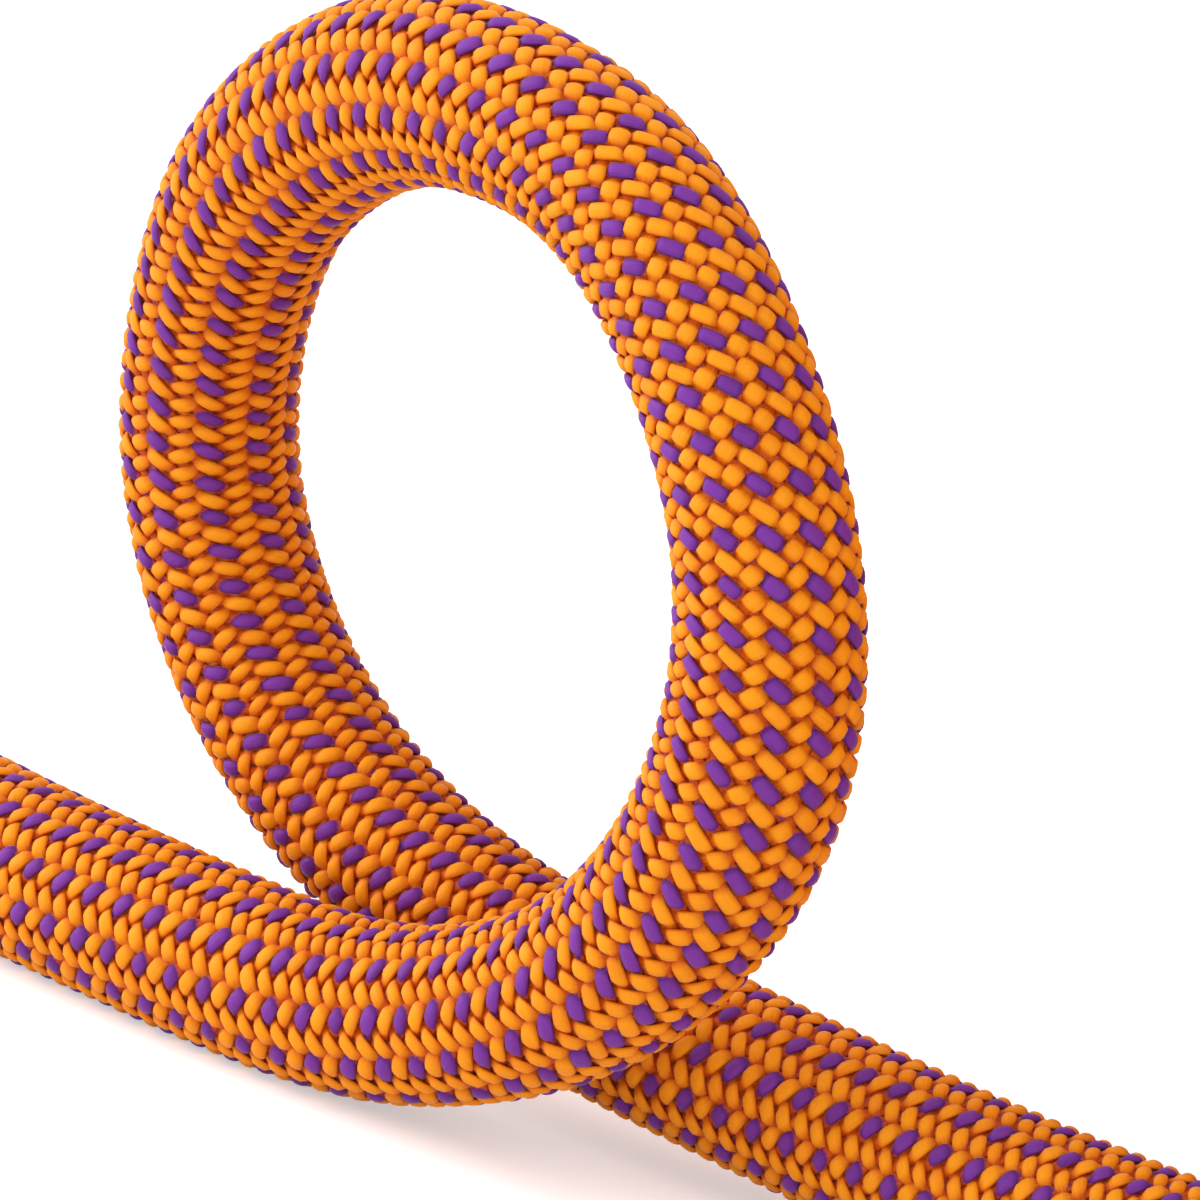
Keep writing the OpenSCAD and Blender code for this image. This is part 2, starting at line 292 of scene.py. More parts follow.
class Rope:
    """The whole rope's line in the frame's place, the coil, and the ends."""

    def __init__(self):
        rope_r = settings("rope_sizes").diameter / 2
        control = np.array(ROUTE) + rope_r * UP
        free = b_spline(control, ROUTE_STEPS)
        way = unit(control[-1] - control[-2])
        self.coil = Coil(free[-1], way)
        low, high = (np.array(corner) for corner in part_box("coil_inner_turns"))
        self.shift = ((low + high) / 2 - self.coil.centre) * [1, 1, 0]
        lead = free[-1] + np.linspace(0, 1, 4)[1:-1, None] * (self.coil.start - free[-1])
        self.line = Line(np.concatenate([free, lead, self.coil.wound(), self.coil.tail()])
                         + self.shift)


# How the braid lies along the rope: millimetres along it, degrees that its columns have turned and
# that they lean towards the rope's side, and rows that it has slipped and that they lean. These
# values are a least-squares fit, rounded
BRAID_LIES = np.array([
    (66, 16, 2.5, 0.0, 1.0), (95, 25.5, 9.5, 0.3, -0.6), (126, 28, 2, 3.0, 0.8),
    (165, 35, -6.5, 3.0, 0.7), (180, 35, 4, 4.2, -1.6), (205, 52, 11.5, 6.0, 0.7),
    (225, 60, 10, 5.5, 0.4), (290, 79, 6, 6.0, 0.0),
])
FRONT = np.array([0.0, -0.974, 0.227])   # the side that the standing loop shows

# The sheath is slack here, and the rope a little thicker: place, reach and share
SWELLINGS = [(126.5 * MM, 14 * MM, 0.13), (189.5 * MM, 14 * MM, 0.10)]


def swollen(along):
    return 1 + sum(share * np.exp(-((along - place) / reach) ** 2)
                   for place, reach, share in SWELLINGS)


class Braid:
    """Where the sheath's strands lie. Columns run along the rope and rows go round it."""

    def __init__(self, line):
        sizes = settings("rope_sizes")
        self.line = line
        self.row = sizes.row
        self.column = 2 * np.pi / sizes.carriers
        side = np.cross(line.ups, line.ways)
        self.front = np.unwrap(np.arctan2(side @ FRONT, line.ups @ FRONT))

    def lies(self, along):
        """Turn and lean of the columns, and slip and lean of the rows."""
        return [np.interp(along, BRAID_LIES[:, 0] * MM, column) * scale
                for column, scale in zip(BRAID_LIES[:, 1:].T, (np.pi / 180, np.pi / 180, 1, 1))]

    def place(self, column, row):
        """Length along the rope and angle round it, of a column and row of the braid."""
        along, angle = row * self.row, column * self.column
        for _ in range(5):
            turn, lean, slip, row_lean = self.lies(along)
            side = np.sin(angle - np.interp(along, self.line.along, self.front))
            along = (row + slip + row_lean * side) * self.row
            angle = column * self.column + turn + lean * side
        return along, angle


# ---- Meshes -------------------------------------------------------------------------------------


def tubes(name, grids, around, alongs, heights=None):
    """One object of closed tubes. Each grid is rings by sides by 3; around and alongs are its UVs,
    and heights say how far each point stands out, from 0 to 1."""
    points, faces, corners = [], [], []
    start = 0
    for grid, along in zip(grids, alongs):
        rings, sides = grid.shape[:2]
        ring, side = np.meshgrid(np.arange(rings - 1), np.arange(sides), indexing="ij")
        ring, side = ring.ravel(), side.ravel()
        beside = (side + 1) % sides
        quads = start + np.stack([ring * sides + side, ring * sides + beside,
                                  (ring + 1) * sides + beside, (ring + 1) * sides + side], axis=1)
        uv = np.stack([np.stack([around[side], along[ring]], axis=1),
                       np.stack([around[side + 1], along[ring]], axis=1),
                       np.stack([around[side + 1], along[ring + 1]], axis=1),
                       np.stack([around[side], along[ring + 1]], axis=1)], axis=1)
        first, last = np.arange(sides), (rings - 1) * sides + np.arange(sides)
        edge = grid[:, 1] - grid[:, 0]
        forward = grid[1:, 0] - grid[:-1, 0]
        outward = grid[:-1, 0] - grid[:-1].mean(axis=1)
        if np.sum(np.cross(edge[:-1], forward) * outward) < 0:
            quads, uv = quads[:, ::-1], uv[:, ::-1]
            last = last[::-1]
        else:
            first = first[::-1]
        points.append(grid.reshape(-1, 3))
        faces += quads.tolist() + [(start + first).tolist(), (start + last).tolist()]
        corners.append(uv.reshape(-1, 2))
        corners.append(np.zeros((2 * sides, 2)) + [0.5, along[0]])
        start += rings * sides
    mesh = bpy.data.meshes.new(name)
    mesh.from_pydata(np.concatenate(points), [], faces)
    layer = mesh.uv_layers.new(name="Yarn")
    layer.data.foreach_set("uv", np.concatenate(corners).astype(np.float32).ravel())
    mesh.polygons.foreach_set("use_smooth", np.ones(len(faces), dtype=bool))
    if heights:
        outness = mesh.attributes.new("Height", "FLOAT", "POINT")
        values = np.concatenate([height.ravel() for height in heights])
        outness.data.foreach_set("value", values.astype(np.float32))
    mesh.update()
    return add_object(name, mesh)


def add_object(name, mesh):
    piece = bpy.data.objects.new(name, mesh)
    bpy.context.scene.collection.objects.link(piece)
    return piece


def finished(piece, material, slot, *nodes):
    """Gives a piece its material, hangs it on the body's empty, and hides the CAD parts that it
    stands in for.
    """
    piece.data.materials.clear()
    piece.data.materials.append(material)
    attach(piece, BODY)
    if nodes:
        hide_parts(*nodes)
    return piece


# ---- Materials ----------------------------------------------------------------------------------


class Signal:
    """A value, colour or vector on its way through a material's nodes."""

    def __init__(self, maker, socket):
        self.maker = maker
        self.socket = socket

    def _math(self, operation, *values):
        return self.maker.node("ShaderNodeMath", {"operation": operation}, *values)

    def __add__(self, other):
        return self._math("ADD", self, other)

    def __sub__(self, other):
        return self._math("SUBTRACT", self, other)

    def __mul__(self, other):
        return self._math("MULTIPLY", self, other)

    def __truediv__(self, other):
        return self._math("DIVIDE", self, other)

    def __radd__(self, other):
        return self._math("ADD", other, self)

    def __rsub__(self, other):
        return self._math("SUBTRACT", other, self)

    def __rmul__(self, other):
        return self._math("MULTIPLY", other, self)

    def __gt__(self, other):
        return self._math("GREATER_THAN", self, other)

    def __mod__(self, other):
        return self._math("FLOORED_MODULO", self, other)

    def call(self, operation, *others):
        return self._math(operation, self, *others)


class Maker:
    """Builds one material's nodes."""

    def __init__(self, name):
        self.material = bpy.data.materials.new(name)
        self.material.use_nodes = True
        self.tree = self.material.node_tree
        self.tree.nodes.clear()

    def node(self, kind, choices=(), *values, output=0, **sockets):
        """Adds a node: its settings first, then what its sockets hold, by order or by name."""
        node = self.tree.nodes.new(kind)
        for key, value in dict(choices).items():
            if key == "stops":
                self._stops(node.color_ramp, value)
            else:
                setattr(node, key, value)
        for key, value in list(enumerate(values)) + list(sockets.items()):
            target = node.inputs[key.replace("_", " ") if isinstance(key, str) else key]
            if isinstance(value, Signal):
                self.tree.links.new(value.socket, target)
            else:
                target.default_value = value
        return Signal(self, node.outputs[output]) if node.outputs else None

    def _stops(self, ramp, stops):
        while len(ramp.elements) < len(stops):
            ramp.elements.new(1.0)
        for element, (place, shade) in zip(ramp.elements, stops):
            element.position = place
            element.color = (*shade, 1.0)

    def uv(self):
        """Across and along the yarn, as two values."""
        vector = self.node("ShaderNodeUVMap", {"uv_map": "Yarn"})
        return (self.node("ShaderNodeSeparateXYZ", (), vector),
                self.node("ShaderNodeSeparateXYZ", (), vector, output=1))

    def joined(self, x, y, z=0.0):
        return self.node("ShaderNodeCombineXYZ", (), x, y, z)

    def noise(self, vector, scale, detail=2.0, roughness=0.5):
        return self.node("ShaderNodeTexNoise", {"noise_dimensions": "3D"}, Vector=vector,
                         Scale=scale, Detail=detail, Roughness=roughness)

    def mix(self, factor, first, second, kind="MIX"):
        node = self.tree.nodes.new("ShaderNodeMix")
        node.data_type = "RGBA"
        node.blend_type = kind
        for key, value in ((0, factor), (6, first), (7, second)):
            if isinstance(value, Signal):
                self.tree.links.new(value.socket, node.inputs[key])
            else:
                node.inputs[key].default_value = value
        return Signal(self, node.outputs[2])

    def bump(self, height, distance, strength=1.0):
        return self.node("ShaderNodeBump", (), Height=height, Distance=distance,
                         Strength=strength)

    def surface(self, **sockets):
        shader = self.node("ShaderNodeBsdfPrincipled", (), **sockets)
        self.node("ShaderNodeOutputMaterial", (), Surface=shader)
        return self.material


def paint(shade, gain=1.0):
    return (*[min(1.0, channel * gain) for channel in shade], 1.0)


def painted_shade(shade, depth):
    """Painted shade: the yarn's colour made darker and fuller, the further into the braid's
    crevices it is drawn.
    """
    return [0.9 * channel ** depth / depth for channel in shade]


# The painted shade of the braid's deepest crevices, in the orange yarn's colour
def painted_crevice_shade(colours):
    return painted_shade(colours.orange, 1.5)


def yarn(name, shade, dark):
    """Filament yarn: fine lines that run along it with a slight twist, and an uneven dye. Where it
    dives it is painted with the dark crevice shade, its sides with painted shade, and its tops with
    a painted highlight."""
    m = Maker(name)
    across, along = m.uv()
    lines = m.noise(m.joined(across * 9.0 + along * 0.9, along * 0.45), 1.0, 3.0, 0.6)
    dye = m.noise(m.joined(across * 0.5, along * 0.35), 1.0, 1.0)
    height = m.node("ShaderNodeAttribute", {"attribute_name": "Height"}, output=2)
    # The colour ramps by height: painted crevice shade low down, the yarn's colour darkened on the
    # floats' sides as painted shade, and brightened on their tops as a painted highlight
    tone = m.node("ShaderNodeValToRGB", {"stops": [
        (0.2, dark), (0.42, painted_shade(shade, 1.1)), (0.95, paint(shade, 1.25)[:3])]},
        height + lines * 0.5 + dye * 0.9 - 0.7)
    return m.surface(Base_Color=tone, Roughness=0.45 + lines * 0.2, Specular_IOR_Level=0.2,
                     Sheen_Weight=0.12, Sheen_Roughness=0.3,
                     Normal=m.bump(lines, 0.06 * MM, 0.7))


ROWS_TO_V = 4.0            # rows of the drawn braid for each unit of V
DRAWN_WEAVE = 0.62         # how far its strands weave in and out
DRAWN_FALL = 3.6           # how fast they fall off towards their edges


def braid(name, colours):
    """The braid drawn on a plain tube. U goes once round, and V counts every fourth row."""
    m = Maker(name)
    around, along = m.uv()
    turn = around * float(settings("rope_sizes").carriers)
    rows = along * ROWS_TO_V
    left = (turn - rows) * 0.5 + 0.5
    right = (turn + rows) * 0.5 + 0.5
    left_off = left.call("FRACT") - 0.5
    right_off = right.call("FRACT") - 0.5
    wave = ((turn - 0.5) * (np.pi / 2)).call("COSINE")
    left_high = DRAWN_WEAVE * wave + (1.0 - (left_off * left_off) * DRAWN_FALL)
    right_high = (1.0 - (right_off * right_off) * DRAWN_FALL) - DRAWN_WEAVE * wave
    height = left_high.call("MAXIMUM", right_high)
    is_left = left_high > right_high
    tracer = (left.call("FLOOR") % 2.0) * -1.0 + 1.0
    off = is_left * left_off + (1.0 - is_left) * right_off
    lines = m.noise(m.joined(off * 9.0, turn * 0.4, rows * 0.1), 1.0, 2.0)
    # The yarn colours are brightened here, a painted highlight on the drawn floats' tops
    tone = m.mix(is_left * tracer, paint(colours.orange, 1.2), paint(colours.purple, 1.1))
    tone = m.mix(lines * 0.45, tone, paint((0.5,) * 3), "MULTIPLY")
    edge = (left_high - right_high).call("ABSOLUTE")
    # Where the drawn strands fall away, and on the tube under the modelled strands, the colour goes
    # to the painted crevice shade
    out = m.node("ShaderNodeMapRange", {"clamp": True}, height * 0.6 + edge * 0.8,
                 0.6, 1.3, 0.0, 1.0)
    bared = m.node("ShaderNodeAttribute", {"attribute_name": "Height"}, output=2)
    tone = m.mix(out * bared, (*painted_crevice_shade(colours), 1.0), tone)
    return m.surface(Base_Color=tone, Roughness=0.45 + lines * 0.2, Specular_IOR_Level=0.2,
                     Sheen_Weight=0.12, Sheen_Roughness=0.3,
                     Normal=m.bump(height, 0.25 * MM, 1.0))


def core_yarn(name, shade):
    m = Maker(name)
    place = m.node("ShaderNodeTexCoord", (), output=3)
    lines = m.noise(place, 2500.0, 3.0)
    tone = m.mix(lines, paint(shade, 0.7), paint(shade, 1.1))
    return m.surface(Base_Color=tone, Roughness=0.7, Normal=m.bump(lines, 0.1 * MM, 0.6))


def melted(name, colours):
    """Yarn melted together: both dyes run into each other and scorch towards the tip."""
    m = Maker(name)
    place = m.node("ShaderNodeTexCoord", (), output=3)
    runs = m.noise(place, 420.0, 3.0, 0.6)
    scorch = m.noise(place, 160.0, 2.0)
    tone = m.mix(m.node("ShaderNodeMapRange", {"clamp": True}, runs, 0.5, 0.68, 0.0, 0.8),
                 paint(colours.orange, 0.5), paint(colours.purple, 0.7))
    tone = m.mix(m.node("ShaderNodeMapRange", {"clamp": True}, scorch, 0.35, 0.65, 0.3, 1.0),
                 tone, paint(colours.burnt))
    return m.surface(Base_Color=tone, Roughness=0.28 + runs * 0.3,
                     Normal=m.bump(runs, 0.4 * MM, 0.5))


def shrink_tube(name, shade):
    m = Maker(name)
    place = m.node("ShaderNodeTexCoord", (), output=3)
    grain = m.noise(place, 900.0, 2.0)
    scuffs = m.noise(place, 60.0, 3.0)
    tone = m.mix(scuffs, paint(shade, 0.8), paint(shade, 2.2))
    return m.surface(Base_Color=tone, Roughness=0.32 + scuffs * 0.25,
                     Normal=m.bump(grain, 0.05 * MM, 0.5))


WARP_YARNS = 26.0          # side by side across the webbing
WEFT_STEP = 1.9            # millimetres between every second weft


def webbing_weave(name, shade):
    """Flat webbing: side by side warp yarns that float over every second weft, in a chevron."""
    m = Maker(name)
    across, along = m.uv()
    warp = across * WARP_YARNS
    column = warp.call("FLOOR")
    step = (column - WARP_YARNS / 2).call("ABSOLUTE") * 0.25
    weft = along / WEFT_STEP + step
    pad_across = (warp - column - 0.5) * 2.0
    pad_along = (weft.call("FRACT") - 0.5) * 2.0
    height = ((1.0 - pad_across * pad_across)
              * (1.0 - (pad_along * pad_along) * (pad_along * pad_along)))
    fuzz = m.noise(m.joined(across * 60.0, along * 1.4), 1.0, 2.0)
    # The weave's grooves are painted darker and its raised pads lighter: painted shade and a
    # painted highlight
    tone = m.mix(height, paint(shade, 0.45), paint(shade, 1.9))
    tone = m.mix(fuzz * 0.4, tone, paint(shade, 1.3))
    return m.surface(Base_Color=tone, Roughness=0.6 + fuzz * 0.2, Specular_IOR_Level=0.3,
                     Normal=m.bump(height, 0.15 * MM, 0.9))


def sewing_thread(name, shade):
    """Three strands twisted into one thread."""
    m = Maker(name)
    across, along = m.uv()
    twist = (across * (3 * 2 * np.pi) + along * 9.0).call("SINE") * 0.5 + 0.5
    # The grooves between the twisted strands are painted darker and their crowns lighter: painted
    # shade
    return m.surface(Base_Color=m.mix(twist, paint(shade, 0.6), paint(shade, 1.2)),
                     Roughness=0.5, Normal=m.bump(twist, 0.05 * MM, 0.8))


# ---- Operators: the rope ------------------------------------------------------------------------

ROPE_SIDES = 12
STRANDS_TOGETHER = 6       # strands in one piece
FADE = 4 * MM              # where the modelled braid ends, it sinks into the rope over this
UNDER_R = 4.49 * MM        # radius of the rope under the modelled braid
STRAND_R = 4.54 * MM       # radius that the strands weave about
WEAVE = 0.16 * MM          # how far they weave in and out of it
# A strand's section: place across its width from -1 to 1, and height as a share of its lift
STRAND_SECTION = np.array([(-1.0, -0.1), (-0.86, 0.46), (-0.48, 0.86), (0.0, 1.0), (0.48, 0.86),
                           (0.86, 0.46), (1.0, -0.1), (0.0, -0.4)])
STRAND_ACROSS = np.array([0.0, 0.07, 0.26, 0.5, 0.74, 0.93, 1.0, 0.5, 0.0])
STRAND_LIFT = 0.24 * MM    # height of a full strand above its own middle
SWING = {1: 0.09, -1: 0.1}   # how far the strands swing sideways, which turns their floats
WANDER = 0.07              # how far they stray from their places, in spaces between strands
TAPER = 1.8                # how much a strand thins where it dives
SINK = 0.5 * MM            # how far past the weave the strands' ends sink into the rope
YARN_SHIFT = 7.3           # millimetres that each strand's yarn is shifted against the last one's
# Rings of a strand, in columns from the middle of a float to the same place on the next one
RINGS = np.array([-0.9, -0.76, -0.62, -0.4, 0.0, 0.4, 0.62, 0.76, 0.9, 1.15, 2.0, 2.85])
# For the strands that turn one way and the other: where their floats are, in columns, and how wide
# half a float is, in spaces between strands
FLOATS = {1: (0.5, 0.57), -1: (2.5, 0.61)}
# At these millimetres along the rope: how long half a float is for the one and the other, how far
# the strand takes to dive after it, all in columns, and how full of yarn the one and the other are
FLOAT_SHAPES = np.array([
    (66, 0.68, 0.64, 0.17, 1.0, 0.87), (100, 0.67, 0.64, 0.17, 0.99, 0.87),
    (126, 0.74, 0.58, 0.14, 0.96, 0.9), (160, 0.75, 0.56, 0.12, 0.98, 1.04),
    (180, 0.68, 0.58, 0.16, 0.92, 0.94), (200, 0.66, 0.60, 0.2, 0.93, 0.86),
    (225, 0.67, 0.60, 0.2, 0.99, 0.86), (245, 0.63, 0.62, 0.19, 1.0, 0.87),
    (290, 0.62, 0.62, 0.18, 1.06, 0.87),
])


def braided_share(along):
    """1 where the braid is modelled, falling to 0 at its ends."""
    sizes = settings("rope_sizes")
    return (eased((along - sizes.braid_start) / FADE) * eased((sizes.braid_end - along) / FADE))


class OBJECT_OT_rope(bpy.types.Operator):
    bl_idname = "object.climbing_rope"
    bl_label = "Rope"

    def execute(self, context):
        sizes = settings("rope_sizes")
        rope = Rope()
        line = rope.line
        side = 2 * np.pi * np.arange(ROPE_SIDES) / ROPE_SIDES
        share = braided_share(line.along)
        radius = (sizes.diameter / 2 * (1 - share) + UNDER_R * share) * swollen(line.along)
        along = np.repeat(line.along[:, None], ROPE_SIDES, axis=1)
        angle = side[None, :] + Braid(line).lies(line.along)[0][:, None]
        grid = line.shell(along, angle, np.repeat(radius[:, None], ROPE_SIDES, axis=1))
        around = np.arange(ROPE_SIDES + 1) / ROPE_SIDES
        # The tube's Height is 0 under the modelled braid, where its material paints it with the
        # crevice shade, and 1 elsewhere
        piece = tubes("climbing_rope", [grid], around, [line.along / (ROWS_TO_V * sizes.row)],
                      [np.repeat(1 - share[:, None], ROPE_SIDES, axis=1)])
        finished(piece, braid("braided_sheath", settings("rope_colours")), "coil_sheath",
                 "sheath", "coil_outer_turns", "coil_inner_turns")
        return {"FINISHED"}


def strand(braid, leaning, number):
    """The rings of one strand, its length so far at each, and how far each point stands out.
    Leaning is 1 for the strands that turn one way, and -1 for the rest."""
    sizes = settings("rope_sizes")
    middle, half_width = FLOATS[leaning]
    first, last = sorted(leaning * np.array([sizes.braid_start, sizes.braid_end]) / sizes.row
                         + 2 * number)
    floats = np.arange(first - middle - 2, last - middle + 2, 4) // 4 * 4
    turn = (floats[:, None] + RINGS).ravel() + middle
    row = leaning * (turn - 2 * number)
    wide, thick, shift = uneven(turn, number + (0 if leaning > 0 else sizes.carriers))
    along = braid.place(turn, row)[0]
    half_length, dive, full = (np.interp(along, FLOAT_SHAPES[:, 0] * MM, FLOAT_SHAPES[:, column])
                               for column in ((1, 3, 4) if leaning > 0 else (2, 3, 5)))
    beyond = (np.abs((turn - middle + 2) % 4 - 2) - half_length * (1 + 0.1 * thick)) / dive
    high = -np.tanh(beyond)
    plump = (1 - np.tanh(beyond / 2)) / 2
    across_way = unit(np.array([-leaning * sizes.row, braid.column * STRAND_R]))
    spacing = 2 * sizes.row * across_way[1]
    half = (spacing * sizes.strand_fill * full * half_width * (1 + 0.1 * wide)
            * (1 - TAPER * dive * (1 - plump)))
    swing = WANDER * shift - leaning * SWING[leaning] * np.sin(np.pi / 2 * (turn - middle))
    offset = half[:, None] * STRAND_SECTION[:, 0] + spacing * swing[:, None]
    place, angle = braid.place(turn[:, None] + offset * across_way[0] / (STRAND_R * braid.column),
                               row[:, None] + offset * across_way[1] / sizes.row)
    sunk = (1 - braided_share(place)) * (WEAVE + SINK)
    lift = STRAND_LIFT * (0.8 + 0.2 * plump + 0.06 * thick)[:, None] * STRAND_SECTION[:, 1]
    radius = STRAND_R + WEAVE * high[:, None] + lift
    grid = braid.line.shell(place, angle, (radius - sunk) * swollen(place))
    # How high each point stands; the yarn turns this into painted shade low down and a painted
    # highlight on top
    height = (radius - STRAND_R + WEAVE / 2) / (1.5 * WEAVE + STRAND_LIFT)
    mm_along = turn * sizes.row / MM * np.sqrt(2) + YARN_SHIFT * number
    return grid, mm_along, np.clip(height, 0, 1)


def uneven(turn, number):
    """Slow changes along a strand, from -1 to 1: its width, its thickness and its place."""
    chance = np.random.default_rng(number)
    knots = np.arange(turn[0] - 2, turn[-1] + 6, 4)
    return [np.interp(turn, knots, chance.uniform(-1, 1, len(knots))) for _ in range(3)]


class OBJECT_OT_braid(bpy.types.Operator):
    """Braid the sheath's strands over the free stretch"""

    bl_idname = "object.rope_braid"
    bl_label = "Braid"

    def execute(self, context):
        colours = settings("rope_colours")
        orange = yarn("orange_yarn", colours.orange, painted_crevice_shade(colours))
        purple = yarn("purple_yarn", colours.purple, painted_crevice_shade(colours))
        braid = Braid(Rope().line)
        half = settings("rope_sizes").carriers // 2
        families = [("purple_strands", 1, range(0, half, 2), purple),
                    ("orange_strands", 1, range(1, half, 2), orange),
                    ("crossing_strands", -1, range(half), orange)]
        for name, leaning, numbers, material in families:
            for start in range(0, len(numbers), STRANDS_TOGETHER):
                together = numbers[start:start + STRANDS_TOGETHER]
                grids, alongs, heights = zip(*[strand(braid, leaning, n) for n in together])
                piece = tubes(f"{name}_{start // STRANDS_TOGETHER + 1}", grids, STRAND_ACROSS,
                              alongs, heights)
                finished(piece, material, "sheath", "sheath")
        return {"FINISHED"}


class OBJECT_OT_core(bpy.types.Operator):
    """Give the core strands their yarn"""

    bl_idname = "object.rope_core"
    bl_label = "Core"

    def execute(self, context):
        material = core_yarn("core_yarn", settings("rope_colours").core)
        for name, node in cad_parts.items():
            if name.startswith("core_strand"):
                node.data.materials.clear()
                node.data.materials.append(material)
        return {"FINISHED"}


# ---- Operators: ends and ties -------------------------------------------------------------------


class OBJECT_OT_ends(bpy.types.Operator):
    """Finish the sealed ends and their shrink sleeves"""

    bl_idname = "object.rope_ends"
    bl_label = "Ends"

    def execute(self, context):
        colours = settings("rope_colours")
        plug = melted("melted_yarn", colours)
        sleeve = shrink_tube("shrink_tube", colours.sleeve)
        for end in "ab":
            for node, material in ((f"sealed_end_{end}", plug), (f"end_sleeve_{end}", sleeve)):
                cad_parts[node].data.materials.clear()
                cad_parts[node].data.materials.append(material)
        return {"FINISHED"}


# The webbing's section, as shares of its half width and half thickness, and where that is across it
WEBBING_SECTION = np.array([(-1, 0), (-0.98, 0.7), (-0.93, 1), (0, 1), (0.93, 1), (0.98, 0.7),
                            (1, 0), (0.98, -0.7), (0.93, -1), (0, -1), (-0.93, -1), (-0.98, -0.7)])
WEBBING_ACROSS = np.append(WEBBING_SECTION[:, 0], -1) / 2 + 0.5
STRAP_STEP = 1.5 * MM
STRAP_TURN = 3             # degrees that the webbing turns by, from step to step, round a turn
LAP_CLIMB = 5 * MM         # the lap climbs onto the strap's own start over this
LAP_AIR = 0.05 * MM
# The seam: a box with a cross in it, as shares of half the lap and half the width
SEAM = [((-0.8, -0.7), (0.8, -0.7)), ((0.8, -0.7), (0.8, 0.7)), ((0.8, 0.7), (-0.8, 0.7)),
        ((-0.8, 0.7), (-0.8, -0.7)), ((-0.8, -0.7), (0.8, 0.7)), ((-0.8, 0.7), (0.8, -0.7))]
STITCH = 2.6 * MM
STITCH_R = 0.3 * MM
STITCH_SIDES = 6
STITCH_RINGS = np.array([-1, -0.75, 0, 0.75, 1])   # along a stitch, as shares of its half length
THREAD_STEP = 0.6          # millimetres of thread between rings, for its twist
THREAD_SHIFT = 1.7         # and from one stitch to the next


class Strap:
    """The webbing of one tie, in the plane across the turns: once round them, and lapped on top."""

    def __init__(self, coil, angle):
        self.coil = coil
        self.angle = angle
        self.sizes = settings("tie_sizes")
        out = coil.rope_r + self.sizes.gap + self.sizes.thickness / 2
        self.top = coil.top + out
        middle = coil.sizes.diameter / 2
        turn = np.pi / 2 - np.radians(np.arange(0, 361, STRAP_TURN))
        way = np.stack([np.cos(turn), np.sin(turn)], axis=1)
        held = self.held()
        round_them = held[np.argmax(way @ held.T, axis=1)] + out * way
        stops = np.concatenate([[(middle - self.sizes.lap / 2, self.top, 0, 1)],
                                np.concatenate([round_them, way], axis=1),
                                [(middle + self.sizes.lap / 2, self.top, 0, 1)]])
        steps = np.linalg.norm(np.diff(stops[:, :2], axis=0), axis=1)
        lengths = np.concatenate([[0.0], np.cumsum(steps)])
        self.along = np.linspace(0, lengths[-1], int(lengths[-1] / STRAP_STEP))
        self.r, self.z, self.out_r, self.out_z = (np.interp(self.along, lengths, column)
                                                  for column in stops.T)
        climb = (self.along - lengths[-1] + self.sizes.lap + LAP_CLIMB) / LAP_CLIMB
        self.z += (self.sizes.thickness + LAP_AIR) * eased(climb)

    def held(self):
        """What the webbing goes round, as places across the coil: the section with its two upper
        corners rounded, and the turns that pass under the webbing."""
        coil = self.coil
        bend = CORNER_TURNS * coil.pitch
        turn = np.radians(np.linspace(0, 90, 10))
        arc = bend * np.stack([np.cos(turn), np.sin(turn)], axis=1)
        section = np.concatenate([
            arc + [coil.outer_r - bend, coil.top - bend],
            arc * [-1, 1] + [coil.inner_r + bend, coil.top - bend],
            [(coil.outer_r, coil.low), (coil.inner_r, coil.low)]])
        offset = coil.wound() - coil.centre
        r = np.linalg.norm(offset[:, :2], axis=1)
        aside = np.abs(offset[:, 0] * np.sin(self.angle) - offset[:, 1] * np.cos(self.angle))
        here = offset[:, :2] @ turned(self.angle)[:2] > 0
        under = here & (aside < self.sizes.width / 2 + coil.rope_r) & (offset[:, 2] > coil.low)
        return np.concatenate([section, np.stack([r, offset[:, 2]], axis=1)[under]])

    def grid(self):
        """The webbing's rings, bent over the turns."""
        half = np.array([self.sizes.width, self.sizes.thickness]) / 2
        across, lift = (WEBBING_SECTION * half).T
        r = self.r[:, None] + self.out_r[:, None] * lift
        z = self.z[:, None] + self.out_z[:, None] * lift
        return self.coil.around(self.angle + across / r, r, z)

    def stitches(self):
        """One grid for each stitch of the seam."""
        half = np.array([self.sizes.lap, self.sizes.width]) / 2
        surface = self.top + 1.5 * self.sizes.thickness + LAP_AIR
        t = STITCH_RINGS
        side = 2 * np.pi * np.arange(STITCH_SIDES) / STITCH_SIDES
        grids = []
        for start, end in np.array(SEAM) * half:
            way = unit(end - start)
            count = int(np.linalg.norm(end - start) / STITCH)
            for place in (np.arange(count) + 0.5) / count:
                middle = start + place * (end - start)
                r_along = t * (STITCH / 2 - STITCH_R / 2)
                size = STITCH_R * np.sqrt(1.02 - t ** 2)[:, None]
                off = size * np.cos(side)
                x = middle[0] + r_along[:, None] * way[0] - off * way[1]
                y = middle[1] + r_along[:, None] * way[1] + off * way[0]
                lift = surface + STITCH_R * (0.3 - 1.2 * t ** 4)[:, None] + size * np.sin(side)
                r = self.coil.sizes.diameter / 2 + x
                grids.append(self.coil.around(self.angle + y / r, r, lift))
        return grids


